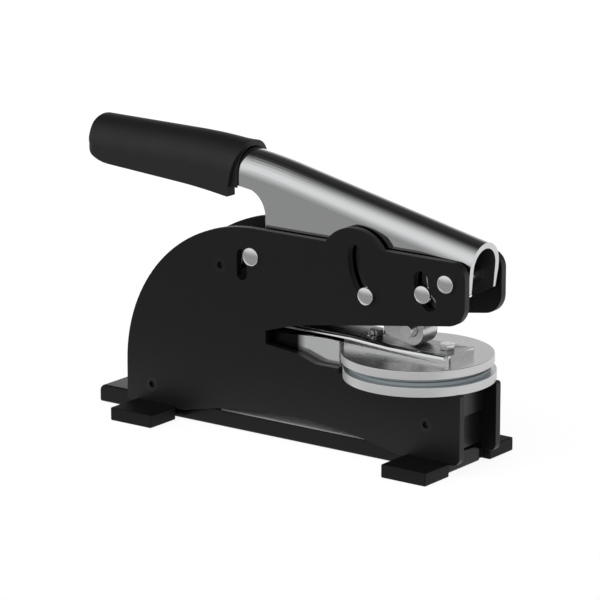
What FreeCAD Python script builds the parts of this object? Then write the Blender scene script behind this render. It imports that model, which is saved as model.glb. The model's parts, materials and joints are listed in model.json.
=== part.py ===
import FreeCAD, Part
import math
import os
import Sketcher

# Desk seal embosser. Two side plates carry a lever, a ram and a removable insert with two dies.
# X runs forwards from the press axis to the jaw, Y to the far side, Z up from the table.
# Every size is in millimetres and every angle in degrees.

os.makedirs("parts", exist_ok=True)
V = FreeCAD.Vector
doc = FreeCAD.newDocument("Embosser")
sheet = doc.addObject("Spreadsheet::Sheet", "Sizes")

SIZES = [
    # side plates: lengths back from the press axis or forward of it, heights above the table
    ("plate_thick", 4.0, "side plate thickness"),
    ("frame_gap", 28.0, "free width between the plates"),
    ("plate_rear", 169.5, "rear edge, behind the press axis"),
    ("plate_low", 6.0, "height of the plates' lower edge"),
    ("plate_top", 107.5, "height of the flat top edge"),
    ("rear_round", 80.5, "large rounding of the rear top corner"),
    ("heel_round", 2.0, "rounding of the rear bottom corner"),
    ("hump_back", 26.8, "middle of the hump, behind the press axis"),
    ("hump_rise", 8.9, "hump above the flat top edge"),
    ("hump_round", 20.0, "radius of the hump"),
    ("jaw_front", 39.2, "front edge of the jaw"),
    ("jaw_top_round", 8.0, "top corner of the jaw"),
    ("jaw_low_round", 10.5, "lower corner of the jaw"),
    ("jaw_mouth", 35.3, "lower corner of the jaw above the seat"),
    ("knee_back", 61.6, "bend in the jaw's lower edge, behind the press axis"),
    ("knee_rise", 5.9, "that bend above the throat's roof"),
    ("knee_round", 150.0, "rounding of that bend"),
    ("throat_back", 80.4, "rear end of the throat"),
    ("throat_gap", 6.8, "height of the throat's rear end"),
    ("throat_rise", 7.7, "throat's rear floor above the seat"),
    ("ramp_top_back", 61.0, "top of the ramp in the throat's floor"),
    ("ramp_top_rise", 5.7, "top of the ramp above the seat"),
    ("ramp_top_round", 10.0, "rounding at the top of the ramp"),
    ("ramp_foot_back", 50.0, "foot of the ramp"),
    ("ramp_foot_rise", 2.1, "foot of the ramp above the seat"),
    ("ramp_foot_round", 14.0, "rounding at the foot of the ramp"),
    ("seat_step_back", 36.2, "step behind the lower disc"),
    ("seat_step_lean", 0.8, "lean of that step"),
    ("seat_high", 41.7, "height of the lower disc's seat"),
    ("seat_round", 1.5, "rounding of the seat's front corner"),
    ("base_front", 37.0, "front edge under the seat"),
    ("base_round", 4.0, "rounding of the front bottom corner"),
    ("arch_back", 133.0, "rear end of the arch under the plates"),
    ("arch_front", 0.7, "front end of the arch, before the press axis"),
    ("arch_rise", 8.2, "height of the arch above the plates' lower edge"),
    # lever axis, crank, return pin and spring rod
    ("pivot_ahead", 28.4, "lever pivot, before the press axis"),
    ("pivot_high", 96.5, "lever pivot above the table"),
    ("pivot_shank", 3.0, "radius of the pivot pin"),
    ("crank_arm", 15.03, "distance from lever pivot to crank pin"),
    ("crank_turn", 208.2, "direction from lever pivot to crank pin"),
    ("crank_shank", 2.75, "radius of the crank pin"),
    ("crank_slot_half", 4.1, "half the width of the crank slot"),
    ("lever_travel", 23.0, "swing of the lever in degrees"),
    ("crank_slot_above", 5.0, "crank slot past the pin's upper place, in degrees"),
    ("crank_slot_below", 20.0, "crank slot past the pin's lower place, in degrees"),
    ("swing_ahead", 1.4, "centre of the return pin's path, behind the press axis"),
    ("swing_high", 101.5, "height of that centre"),
    ("swing_arm", 24.8, "radius of the return pin's path"),
    ("swing_end", 226.4, "direction of the return slot's lower end"),
    ("swing_travel", 53.4, "length of the return slot in degrees"),
    ("return_slot_half", 3.7, "half the width of the return slot"),
    ("return_shank", 2.5, "radius of the return pin"),
    ("rod_back", 89.5, "spring rod, behind the press axis"),
    ("rod_high", 92.9, "height of the spring rod"),
    ("rod_shank", 2.5, "radius of the spring rod"),
    ("hook_slot_half", 3.1, "half the width of the hooked slot"),
    ("hook_slot_back", 5.7, "upright leg of the hooked slot behind the rod"),
    ("hook_slot_drop", 9.8, "centre of the leg's lower end below the rod"),
    ("hook_slot_ahead", 0.9, "round end of the slot before the rod"),
    ("dome_round", 4.6, "radius of the pins' heads"),
    ("dome_proud", 2.6, "height of the pins' heads"),
    ("rod_ball_round", 4.8, "radius of the rod's heads"),
    ("rod_ball_proud", 1.8, "height of the rod's heads"),
    ("running_fit", 0.05, "radial clearance of a turning fit"),
    ("snug_fit", 0.02, "radial clearance of a fixed fit"),
    ("head_gap", 0.15, "moving head clear of the plate"),
    # frame screws and spacers
    ("screw_shank", 2.0, "radius of the frame screws"),
    ("screw_head", 4.0, "radius of their countersunk heads"),
    ("screw_socket", 1.9, "radius of the hexagon socket over its corners"),
    ("screw_socket_deep", 1.5, "depth of the hexagon socket"),
    ("hexagon_sides", 6.0, "number of sides of a hexagon"),
    ("low_screw_back", 153.4, "low rear screw, behind the press axis"),
    ("low_screw_high", 16.3, "its height"),
    ("high_screw_back", 108.9, "high rear screw, behind the press axis"),
    ("high_screw_high", 85.8, "its height"),
    ("front_screw_ahead", 16.9, "front screw, before the press axis"),
    ("front_screw_high", 24.0, "its height"),
    ("spacer_round", 5.0, "radius of the spacers"),
    # anvil block, base bar and feet
    ("anvil_front", 29.4, "front face of the anvil block"),
    ("anvil_back", 98.0, "rear face of the anvil block"),
    ("anvil_thick", 15.2, "height of the anvil block"),
    ("anvil_foot_back", 8.0, "rear face of its foot"),
    ("anvil_foot_front", 27.0, "front face of its foot"),
    ("bar_rear", 191.5, "rear end of the base bar"),
    ("bar_front", 28.0, "front end of the base bar"),
    ("bar_high", 9.2, "height of the base bar"),
    ("bar_tail_round", 3.5, "rounding of its rear top edge"),
    ("foot_long", 26.3, "length of a foot"),
    ("foot_wide", 20.7, "width of a foot outside the plates"),
    ("foot_high", 6.9, "height of a foot"),
    ("foot_tongue", 16.0, "length of the foot's tongue under the plate"),
    ("foot_rear_mid", 151.1, "middle of the rear feet, behind the press axis"),
    ("foot_front_mid", 18.05, "middle of the front feet, before the press axis"),
    # insert: lower arm, block, discs, dies and upper arm
    ("arm_side_gap", 1.5, "both arms and the block clear of the plates"),
    ("arm_fit", 0.1, "side clearance of the lower arm in its groove"),
    ("arm_thick", 4.0, "thickness of both arms"),
    ("lower_arm_front", 24.0, "front end of the lower arm"),
    ("insert_back", 96.0, "rear end of the insert"),
    ("block_front", 38.8, "bright front edge of the block"),
    ("block_high", 14.6, "height of the block at its front"),
    ("block_flat_back", 50.0, "rear end of the block's flat top"),
    ("block_dip", 1.8, "fall of the block's top at the post"),
    ("post_long", 12.0, "length of the rear post"),
    ("disc_round", 38.0, "radius of both discs"),
    ("lower_disc_ahead", 1.0, "lower disc's centre before the press axis"),
    ("upper_disc_back", 0.3, "upper disc's centre behind the press axis"),
    ("lower_disc_thick", 4.8, "lower disc"),
    ("upper_disc_thick", 4.4, "upper disc"),
    ("die_round", 35.0, "radius of the dies"),
    ("die_thick", 1.7, "thickness of a die"),
    ("paper_gap", 0.2, "room for the paper between the dies"),
    ("upper_arm_front", 26.1, "front end of the upper arm"),
    ("upper_arm_back", 36.0, "rear end of its thick part"),
    ("arm_corner", 3.0, "rounded corners of the upper arm's tip"),
    ("leaf_thick", 2.1, "thickness of the leaf"),
    ("leaf_rise", 1.6, "leaf above the thick part"),
    ("leaf_fall_back", 32.0, "where the leaf starts to fall"),
    ("leaf_fall_end", 10.0, "where it meets the thick part"),
    ("leaf_gap", 0.1, "leaf above the post"),
    ("leaf_end_inset", 1.05, "hinge line before the leaf's rear end"),
    ("bolt_front_ahead", 17.3, "front bolt before the press axis"),
    ("bolt_rear_back", 25.0, "rear bolt behind the press axis"),
    ("bolt_shank", 2.0, "radius of the hexagon bolts"),
    ("bolt_corner", 4.04, "hexagon head over its corners, half"),
    ("bolt_head_high", 2.8, "height of the hexagon heads"),
    ("bolt_deep", 3.0, "bolts into the upper disc"),
    ("spot_fit", 0.4, "spot face round the rear bolt's head"),
    ("spot_rise", 0.6, "spot face above the arm's top"),
    ("leaf_screw_back", 90.0, "leaf screw behind the press axis"),
    ("leaf_screw_head", 3.5, "radius of its head"),
    ("leaf_screw_high", 2.2, "height of its head"),
    ("leaf_screw_gap", 0.5, "leaf screw clear of the leaf"),
    # ram
    ("ram_half", 6.4, "half the width of the ram"),
    ("ram_eye", 7.5, "radius of the ram's eye"),
    ("ram_gap", 0.25, "ram above the upper arm"),
    ("ram_toe", 7.0, "radius of the ram's toe"),
    ("ram_flank", 11.5, "height of the toe's upright flank"),
    ("ram_bend", 8.0, "rounding above the flank"),
    ("ram_toe_ahead", 0.2, "centre of the toe before the press axis"),
    ("ram_heel", 5.0, "radius of the ram's heel"),
    ("ram_heel_back", 11.5, "centre of the heel behind the press axis"),
    ("ram_heel_rise", 2.6, "heel above the toe's lowest line"),
    ("cross_shank", 3.5, "radius of the cross pin"),
    ("cross_half", 11.4, "half the length of the cross pin"),
    ("cross_lift", 8.2, "cross pin above the toe's lowest line"),
    # lever
    ("lever_side_gap", 1.5, "lever clear of the plates"),
    ("lever_wall", 3.0, "wall of the lever"),
    ("lever_lean", 12.4, "lean of the lever's front part"),
    ("lever_front", 38.4, "axis of the lever at its front end, before the press axis"),
    ("lever_front_high", 102.5, "height of the axis there"),
    ("lever_cut_lean", 5.0, "lean of the lever's front cut"),
    ("lever_cut_room", 4.0, "lever drawn past its front cut"),
    ("lever_bend_back", 104.0, "bend in the grip, behind the press axis"),
    ("lever_bend_round", 60.0, "radius of that bend"),
    ("grip_lean", 0.6, "lean of the grip"),
    ("grip_tail_back", 188.5, "rear end of the lever under the grip"),
    ("lever_leg", 5.0, "lever's legs below its axis inside the grip"),
    ("front_wall", 9.2, "lever's wall below the axis at the front end"),
    ("fin_back", 84.4, "rear edge of the fin"),
    ("fin_low", 99.5, "lower rear corner of the fin"),
    ("fin_hollow", 15.0, "hollow arc at the rear of the fin"),
    ("fin_edge", 3.0, "roundings of the walls' lower corners"),
    ("lever_slot_side", 0.5, "lever slot wider than the return pin, each side"),
    ("lever_slot_near", 48.3, "near end of the lever's slot, from the pivot"),
    ("lever_slot_far", 55.3, "far end of that slot"),
    # grip
    ("grip_wall", 3.1, "wall of the grip"),
    ("grip_fit", 0.05, "grip clear of the lever"),
    ("grip_front_back", 105.8, "front lip of the grip at its low edge"),
    ("grip_front_lean", 5.5, "crest of the lip ahead of its low edge"),
    ("grip_end_back", 198.0, "rear end of the grip"),
    ("grip_end_round", 6.0, "rounding of the grip's rear end"),
    ("grip_heel_round", 6.5, "rounding of its lower rear corner"),
    ("grip_skirt_room", 1.6, "skirt drawn past its trimmed edge"),
    ("grip_skirt_front", 11.4, "grip's skirt below its axis at the front"),
    ("grip_skirt_rear", 6.3, "grip's skirt below its axis at the rear"),
    ("grip_lip", 1.0, "rounding of the grip's front lip"),
    # return spring
    ("coil_round", 6.0, "outer radius of the return spring"),
    ("right_angle", 90.0, "a right angle in degrees"),
]

# outline of the lever's hidden lower edge: along and down from the pivot, as shares of the crank arm
WALL_SHARES = [
    (0.14, -0.62),
    (-0.88, -1.04),
    (-3.08, -1.46),
    (-3.98, -1.40),
    (-4.85, -0.46),
]

for row, (name, number, words) in enumerate(SIZES, 1):
    sheet.set("A%d" % row, words)
    sheet.set("B%d" % row, str(number))
    sheet.setAlias("B%d" % row, name)
doc.recompute()


class Size:
    """A number together with the sheet formula that gives it."""

    def __init__(self, value, text):
        self.value = value
        self.text = text

    def __add__(self, other):
        other = size(other)
        return Size(self.value + other.value, "(%s + %s)" % (self.text, other.text))

    def __sub__(self, other):
        other = size(other)
        return Size(self.value - other.value, "(%s - %s)" % (self.text, other.text))

    def __mul__(self, other):
        other = size(other)
        return Size(self.value * other.value, "%s * %s" % (self.text, other.text))

    def __truediv__(self, other):
        other = size(other)
        return Size(self.value / other.value, "%s / (%s)" % (self.text, other.text))

    def __neg__(self):
        return Size(-self.value, "(-1 * %s)" % self.text)

    __radd__ = __add__
    __rmul__ = __mul__


def size(thing):
    return thing if isinstance(thing, Size) else Size(float(thing), repr(float(thing)))


def sine(angle):
    return Size(math.sin(math.radians(angle.value)), "sin(%s)" % angle.text)


def cosine(angle):
    return Size(math.cos(math.radians(angle.value)), "cos(%s)" % angle.text)


def tangent(angle):
    return Size(math.tan(math.radians(angle.value)), "tan(%s)" % angle.text)


def root(area):
    return Size(math.sqrt(area.value), "sqrt(%s)" % area.text)


def direction(along, up):
    return Size(math.degrees(math.atan2(up.value, along.value)),
                "(atan2(%s; %s) / 1 deg)" % (up.text, along.text))


class Sheet:
    """The named sizes, each as an attribute."""


s = Sheet()
for name, number, words in SIZES:
    setattr(s, name, Size(sheet.get(name), "Sizes." + name))
s.arm_wide = s.frame_gap - 2 * s.arm_side_gap
s.lever_wide = s.frame_gap - 2 * s.lever_side_gap
s.swing_start = s.swing_end - s.swing_travel
s.crank_slot_start = s.crank_turn - s.lever_travel - s.crank_slot_above
s.crank_slot_end = s.crank_turn + s.crank_slot_below


def bind(thing, path, value):
    """Ties one property of an object to the sheet."""
    value = size(value)
    thing.setExpression(path, value.text)


def place(thing, along=0, across=0, up=0):
    """Sets an object's place from the sheet."""
    for path, value in (("x", along), ("y", across), ("z", up)):
        if isinstance(value, Size):
            bind(thing, "Placement.Base." + path, value)


def new_body(name):
    body = doc.addObject("PartDesign::Body", name)
    body.Label = name
    return body


def new_sketch(body, name, role="XZ_Plane", offset=0):
    """A sketch on one of the body's own origin planes, moved along the plane's normal."""
    sketch = body.newObject("Sketcher::SketchObject", name)
    plane = [f for f in body.Origin.OriginFeatures if f.Role == role][0]
    sketch.AttachmentSupport = [(plane, "")]
    sketch.MapMode = "FlatFace"
    if isinstance(offset, Size):
        bind(sketch, ".AttachmentOffset.Base.z", offset)
    return sketch


def tie(sketch, kind, geo, pos, value):
    """A DistanceX or DistanceY of one point, tied to the sheet."""
    value = size(value)
    number = sketch.addConstraint(Sketcher.Constraint(kind, geo, pos, value.value))
    if value.text != "0.0":
        sketch.setExpression("Constraints[%d]" % number, value.text)


def circle(sketch, x, z, radius):
    middle = V(size(x).value, size(z).value, 0)
    geo = sketch.addGeometry(Part.Circle(middle, V(0, 0, 1), size(radius).value), False)
    tie(sketch, "DistanceX", geo, 3, x)
    tie(sketch, "DistanceY", geo, 3, z)
    number = sketch.addConstraint(Sketcher.Constraint("Radius", geo, size(radius).value))
    sketch.setExpression("Constraints[%d]" % number, size(radius).text)


def loop(sketch, corners):
    """One closed outline. A corner is (x, z), (x, z, radius) for a rounded one,
    or (x, z, centre x, centre z, turn) where an arc about that centre runs to the next corner."""
    count = len(corners)
    spots = [V(size(c[0]).value, size(c[1]).value, 0) for c in corners]
    rounds = [size(c[2]).value if len(c) == 3 else 0 for c in corners]
    leave = list(spots)
    reach = list(spots)
    mids = [None] * count
    for i in range(count):
        if not rounds[i]:
            continue
        back = (spots[i] - spots[i - 1]).normalize()
        on = (spots[(i + 1) % count] - spots[i]).normalize()
        side = back.x * on.y - back.y * on.x
        bend = math.atan2(abs(side), back.dot(on))
        run = rounds[i] * math.tan(bend / 2)
        reach[i] = spots[i] - back * run
        leave[i] = spots[i] + on * run
        flip = math.copysign(1, side)
        mids[i] = reach[i] + V(-back.y, back.x, 0) * flip * rounds[i]
    pieces = []

    def arc(start, end, middle, turn):
        first = math.atan2(start.y - middle.y, start.x - middle.x)
        last = math.atan2(end.y - middle.y, end.x - middle.x)
        ring = Part.Circle(middle, V(0, 0, 1), (start - middle).Length)
        if turn > 0:
            return sketch.addGeometry(Part.ArcOfCircle(ring, first, last), False), 1, 2
        return sketch.addGeometry(Part.ArcOfCircle(ring, last, first), False), 2, 1

    for i in range(count):
        j = (i + 1) % count
        if rounds[i]:
            turn = (spots[i] - spots[i - 1]).cross(spots[j] - spots[i]).z
            geo = arc(reach[i], leave[i], mids[i], turn)
            number = sketch.addConstraint(Sketcher.Constraint("Radius", geo[0], rounds[i]))
            sketch.setExpression("Constraints[%d]" % number, size(corners[i][2]).text)
            pieces.append((geo, i, "round"))
        if len(corners[i]) == 5:
            middle = V(size(corners[i][2]).value, size(corners[i][3]).value, 0)
            geo = arc(leave[i], reach[j], middle, corners[i][4])
            chord = reach[j] - leave[i]
            if abs(chord.x) > abs(chord.y):
                tie(sketch, "DistanceY", geo[0], 3, corners[i][3])
            else:
                tie(sketch, "DistanceX", geo[0], 3, corners[i][2])
        else:
            geo = (sketch.addGeometry(Part.LineSegment(leave[i], reach[j]), False), 1, 2)
        pieces.append((geo, i, "side"))
    for k, (geo, i, kind) in enumerate(pieces):
        before, j, other = pieces[k - 1]
        if kind == "round":
            sketch.addConstraint(Sketcher.Constraint("Tangent", before[0], before[2], geo[0], geo[1]))
        elif other == "round":
            sketch.addConstraint(Sketcher.Constraint("Tangent", before[0], before[2], geo[0], geo[1]))
            tip = sketch.addGeometry(Part.Point(spots[i]), True)
            tie(sketch, "DistanceX", tip, 1, corners[i][0])
            tie(sketch, "DistanceY", tip, 1, corners[i][1])
            sketch.addConstraint(Sketcher.Constraint("PointOnObject", tip, 1, pieces[k - 2][0][0]))
            sketch.addConstraint(Sketcher.Constraint("PointOnObject", tip, 1, geo[0]))
        else:
            sketch.addConstraint(Sketcher.Constraint("Coincident", before[0], before[2], geo[0], geo[1]))
            tie(sketch, "DistanceX", geo[0], geo[1], corners[i][0])
            tie(sketch, "DistanceY", geo[0], geo[1], corners[i][1])


def polar(x, z, radius, angle):
    return x + radius * cosine(angle), z + radius * sine(angle)


def bow_slot(sketch, x, z, arm, start, end, half):
    """A slot of constant width that follows an arc about (x, z)."""
    a1 = polar(x, z, arm - half, start)
    a2 = polar(x, z, arm - half, end)
    b1 = polar(x, z, arm + half, start)
    b2 = polar(x, z, arm + half, end)
    m1 = polar(x, z, arm, start)
    m2 = polar(x, z, arm, end)
    loop(sketch, [a2 + (x, z, -1), a1 + m1 + (1,), b1 + (x, z, 1), b2 + m2 + (1,)])


def straight_slot(sketch, first, last, half):
    """A slot with round ends between two points."""
    lean = direction(last[0] - first[0], last[1] - first[1])
    side = (half * sine(lean), half * cosine(lean))
    loop(sketch, [(first[0] + side[0], first[1] - side[1]),
                  (last[0] + side[0], last[1] - side[1], last[0], last[1], 1),
                  (last[0] - side[0], last[1] + side[1]),
                  (first[0] - side[0], first[1] + side[1], first[0], first[1], 1)])


def pad(body, sketch, name, length, middle=False, back=False):
    thing = body.newObject("PartDesign::Pad", name)
    thing.Profile = sketch
    bind(thing, "Length", length)
    thing.Midplane = middle
    thing.Reversed = back
    return thing


def pocket(body, sketch, name, length=None, middle=False, back=False):
    thing = body.newObject("PartDesign::Pocket", name)
    thing.Profile = sketch
    if length is None:
        thing.Type = 1
    else:
        bind(thing, "Length", length)
    thing.Midplane = middle
    thing.Reversed = back
    return thing


def revolve(body, sketch, name, groove=False):
    thing = body.newObject("PartDesign::Groove" if groove else "PartDesign::Revolution", name)
    thing.Profile = sketch
    thing.ReferenceAxis = (sketch, ["H_Axis"])
    thing.Angle = 360
    return thing


def drill(body, name, x, y, z, turn, radius, length, top=None):
    """A round or conical cut. Turn is the rotation that lays its own axis along the drilling line."""
    kind = "PartDesign::SubtractiveCylinder" if top is None else "PartDesign::SubtractiveCone"
    thing = body.newObject(kind, name)
    if top is None:
        bind(thing, "Radius", radius)
    else:
        bind(thing, "Radius1", radius)
        bind(thing, "Radius2", top)
    bind(thing, "Height", length)
    thing.Placement = FreeCAD.Placement(V(0, 0, 0), turn)
    place(thing, x, y, z)
    return thing


NODES = []


def keep(thing, name):
    thing.Label = name
    NODES.append((name, thing))


UPRIGHT = FreeCAD.Rotation(V(0, 0, 1), 0)
TO_FAR = FreeCAD.Rotation(V(1, 0, 0), -90)
TO_NEAR = FreeCAD.Rotation(V(1, 0, 0), 90)

# places that several pieces share
frame_half = s.frame_gap / 2
plate_out = frame_half + s.plate_thick
pivot = (s.pivot_ahead, s.pivot_high)
crank = polar(pivot[0], pivot[1], s.crank_arm, s.crank_turn)
swing = (-s.swing_ahead, s.swing_high)
catch = polar(swing[0], swing[1], s.swing_arm, s.swing_end)
rod = (-s.rod_back, s.rod_high)
screws = [(-s.low_screw_back, s.low_screw_high),
          (-s.high_screw_back, s.high_screw_high),
          (s.front_screw_ahead, s.front_screw_high)]
lower_die_foot = s.seat_high + s.lower_disc_thick
upper_die_foot = lower_die_foot + s.die_thick + s.paper_gap
upper_disc_foot = upper_die_foot + s.die_thick
arm_foot = upper_disc_foot + s.upper_disc_thick
arm_top = arm_foot + s.arm_thick
leaf_top = arm_top + s.leaf_rise
leaf_foot = leaf_top - s.leaf_thick
ram_foot = arm_top + s.ram_gap


# Side plates: one outline with throat, hump and arch, three slots, the pivot hole and
# three countersunk screw holes each.
def side_plate(name, inner, outward):
    body = new_body(name)
    sketch = new_sketch(body, name + "_outline", offset=inner)
    hump_half = root(s.hump_round * s.hump_round
                     - (s.hump_round - s.hump_rise) * (s.hump_round - s.hump_rise))
    hump_mid = s.plate_top + s.hump_rise - s.hump_round
    arch_half = (s.arch_back + s.arch_front) / 2
    arch_radius = (arch_half * arch_half + s.arch_rise * s.arch_rise) / (2 * s.arch_rise)
    low = s.plate_low
    roof = s.seat_high + s.throat_rise + s.throat_gap
    loop(sketch, [
        (-s.plate_rear, low, s.heel_round),
        (-s.arch_back, low, s.arch_front - arch_half, low + s.arch_rise - arch_radius, -1),
        (s.arch_front, low),
        (s.base_front, low, s.base_round),
        (s.base_front, s.seat_high, s.seat_round),
        (-(s.seat_step_back - s.seat_step_lean), s.seat_high),
        (-s.seat_step_back, s.seat_high + s.ramp_foot_rise),
        (-s.ramp_foot_back, s.seat_high + s.ramp_foot_rise, s.ramp_foot_round),
        (-s.ramp_top_back, s.seat_high + s.ramp_top_rise, s.ramp_top_round),
        (-s.throat_back, s.seat_high + s.throat_rise),
        (-s.throat_back, roof),
        (-s.knee_back, roof + s.knee_rise, s.knee_round),
        (s.jaw_front, s.seat_high + s.jaw_mouth, s.jaw_low_round),
        (s.jaw_front, s.plate_top, s.jaw_top_round),
        (hump_half - s.hump_back, s.plate_top, -s.hump_back, hump_mid, 1),
        (-hump_half - s.hump_back, s.plate_top),
        (-s.plate_rear, s.plate_top, s.rear_round),
    ])
    circle(sketch, pivot[0], pivot[1], s.pivot_shank + s.snug_fit)
    bow_slot(sketch, pivot[0], pivot[1], s.crank_arm, s.crank_slot_start, s.crank_slot_end,
             s.crank_slot_half)
    bow_slot(sketch, swing[0], swing[1], s.swing_arm, s.swing_start, s.swing_end,
             s.return_slot_half)
    half = s.hook_slot_half
    leg = rod[0] - s.hook_slot_back
    foot = rod[1] - s.hook_slot_drop
    nose = rod[0] + s.hook_slot_ahead
    loop(sketch, [
        (leg - half, foot, leg, foot, 1),
        (leg + half, foot),
        (leg + half, rod[1] - half),
        (nose, rod[1] - half, nose, rod[1], 1),
        (nose, rod[1] + half),
        (leg - half, rod[1] + half, half),
    ])
    pad(body, sketch, name + "_pad", s.plate_thick)
    turn = TO_FAR if outward.value < 0 else TO_NEAR
    for k, (x, z) in enumerate(screws):
        drill(body, "%s_sink_%d" % (name, k), x, outward, z, turn, s.screw_head + s.snug_fit,
              s.plate_thick, s.screw_shank + s.snug_fit)
    keep(body, name)


side_plate("side_plate_near", frame_half, -plate_out)
side_plate("side_plate_far", -plate_out, plate_out)


# Frame screws: countersunk heads with hexagon sockets, flush with the plates and drawn
# against the ends of the spacers.
def csk_screw(name, x, y, z, turn):
    """One countersunk screw; its own axis starts at the head's flat face."""
    head = doc.addObject("Part::Cone", name + "_head")
    bind(head, "Radius1", s.screw_head)
    bind(head, "Radius2", s.screw_shank)
    bind(head, "Height", s.plate_thick)
    key = doc.addObject("Part::Prism", name + "_key")
    bind(key, "Polygon", s.hexagon_sides)
    bind(key, "Circumradius", s.screw_socket)
    bind(key, "Height", s.screw_socket_deep)
    for thing in (head, key):
        thing.Placement = FreeCAD.Placement(V(0, 0, 0), turn)
        place(thing, x, y, z)
    cut = doc.addObject("Part::Cut", name + "_cut")
    cut.Base = head
    cut.Tool = key
    return cut


def group(name, things):
    """Several equal pieces in one node."""
    box = doc.addObject("Part::Compound", name)
    box.Links = things
    keep(box, name)


made = []
for k, (x, z) in enumerate(screws):
    made.append(csk_screw("frame_screw_near_%d" % k, x, -plate_out, z, TO_FAR))
    made.append(csk_screw("frame_screw_far_%d" % k, x, plate_out, z, TO_NEAR))
group("frame_screws", made)


# Spacers between the plates at the two rear pairs of screws.
def spacer(name, spot):
    body = new_body(name)
    sketch = new_sketch(body, name + "_ring")
    circle(sketch, spot[0], spot[1], s.spacer_round)
    pad(body, sketch, name + "_pad", s.frame_gap, middle=True)
    keep(body, name)


spacer("rear_low_spacer", screws[0])
spacer("rear_high_spacer", screws[1])

# Anvil block: a bar between the plates with a groove for the lower arm; its foot stands
# on the base bar between the front screws.
body = new_body("anvil_block")
sketch = new_sketch(body, "anvil_outline")
under = s.seat_high - s.anvil_thick
loop(sketch, [
    (-s.anvil_back, under),
    (s.anvil_foot_back, under),
    (s.anvil_foot_back, s.bar_high),
    (s.anvil_foot_front, s.bar_high),
    (s.anvil_foot_front, under),
    (s.anvil_front, under),
    (s.anvil_front, s.seat_high),
    (-s.anvil_back, s.seat_high),
])
pad(body, sketch, "anvil_pad", s.frame_gap, middle=True)
sketch = new_sketch(body, "anvil_groove", "XY_Plane", offset=s.seat_high)
side = s.arm_wide / 2 + s.arm_fit
ahead = s.lower_arm_front + s.arm_fit
loop(sketch, [(-s.anvil_back, -side), (ahead, -side), (ahead, side), (-s.anvil_back, side)])
pocket(body, sketch, "anvil_groove_cut", s.arm_thick)
keep(body, "anvil_block")

# Base bar: a flat bar under the plates that stands out as a tail at the rear.
body = new_body("base_bar")
sketch = new_sketch(body, "base_bar_outline")
loop(sketch, [
    (-s.bar_rear, 0),
    (s.bar_front, 0),
    (s.bar_front, s.bar_high),
    (-s.bar_rear, s.bar_high, s.bar_tail_round),
])
pad(body, sketch, "base_bar_pad", s.frame_gap, middle=True)
keep(body, "base_bar")


# Feet: rubber blocks beside the plates, each with a tongue that reaches under its plate.
def foot(name, along, way):
    body = new_body(name)
    half = s.foot_long / 2
    inner = plate_out * way
    outer = (plate_out + s.foot_wide) * way
    block = new_sketch(body, name + "_block", "XY_Plane")
    loop(block, [(-half * way, inner), (half * way, inner), (half * way, outer), (-half * way, outer)])
    pad(body, block, name + "_block_pad", s.foot_high)
    half = s.foot_tongue / 2
    tongue = new_sketch(body, name + "_tongue", "XY_Plane")
    loop(tongue, [(-half * way, frame_half * way), (half * way, frame_half * way),
                  (half * way, inner), (-half * way, inner)])
    pad(body, tongue, name + "_tongue_pad", s.plate_low)
    place(body, along)
    keep(body, name)


foot("foot_front_near", s.foot_front_mid, -1)
foot("foot_front_far", s.foot_front_mid, 1)
foot("foot_rear_near", -s.foot_rear_mid, -1)
foot("foot_rear_far", -s.foot_rear_mid, 1)

# Lower arm: a flat bar let into the anvil block; the insert's block and lower disc sit on it.
body = new_body("lower_arm")
sketch = new_sketch(body, "lower_arm_outline", "XY_Plane", offset=s.seat_high - s.arm_thick)
side = s.arm_wide / 2
loop(sketch, [(-s.insert_back, -side), (s.lower_arm_front, -side),
              (s.lower_arm_front, side), (-s.insert_back, side)])
pad(body, sketch, "lower_arm_pad", s.arm_thick)
keep(body, "lower_arm")

# Insert block: bright block in the throat, with a post at the rear that carries the leaf.
body = new_body("insert_block")
sketch = new_sketch(body, "insert_block_outline")
post = s.insert_back - s.post_long
loop(sketch, [
    (-s.insert_back, s.seat_high),
    (-s.block_front, s.seat_high),
    (-s.block_front, s.seat_high + s.block_high),
    (-s.block_flat_back, s.seat_high + s.block_high),
    (-post, s.seat_high + s.block_high - s.block_dip),
    (-post, leaf_foot - s.leaf_gap),
    (-s.insert_back, leaf_foot - s.leaf_gap),
])
pad(body, sketch, "insert_block_pad", s.arm_wide, middle=True)
keep(body, "insert_block")

# Leaf screw: a cheese head over the post; the leaf stays free to bend under it.
shank = doc.addObject("Part::Cylinder", "leaf_screw_shank")
bind(shank, "Radius", s.screw_shank)
bind(shank, "Height", s.leaf_gap + s.leaf_thick + s.leaf_screw_gap)
place(shank, -s.leaf_screw_back, 0, leaf_foot - s.leaf_gap)
head = doc.addObject("Part::Cylinder", "leaf_screw_cap")
bind(head, "Radius", s.leaf_screw_head)
bind(head, "Height", s.leaf_screw_high)
place(head, -s.leaf_screw_back, 0, leaf_top + s.leaf_screw_gap)
leaf_screw = doc.addObject("Part::Fuse", "leaf_screw")
leaf_screw.Base = head
leaf_screw.Tool = shank
keep(leaf_screw, "leaf_screw")


# Discs and dies: turned plates; the upper disc takes the two bolts from above.
def turned(name, x, foot, radius, thick, holes=()):
    body = new_body(name)
    sketch = new_sketch(body, name + "_outline", "XY_Plane")
    circle(sketch, 0, 0, radius)
    pad(body, sketch, name + "_pad", thick)
    for k, along in enumerate(holes):
        deep = s.bolt_deep + s.snug_fit
        drill(body, "%s_hole_%d" % (name, k), along - x, 0, thick - deep, UPRIGHT,
              s.bolt_shank + s.snug_fit, deep)
    place(body, x, 0, foot)
    keep(body, name)


turned("lower_disc", s.lower_disc_ahead, s.seat_high, s.disc_round, s.lower_disc_thick)
turned("lower_die", s.lower_disc_ahead, lower_die_foot, s.die_round, s.die_thick)
turned("upper_die", -s.upper_disc_back, upper_die_foot, s.die_round, s.die_thick)
bolts = [s.bolt_front_ahead, -s.bolt_rear_back]
turned("upper_disc", -s.upper_disc_back, upper_disc_foot, s.disc_round, s.upper_disc_thick, bolts)

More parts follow.
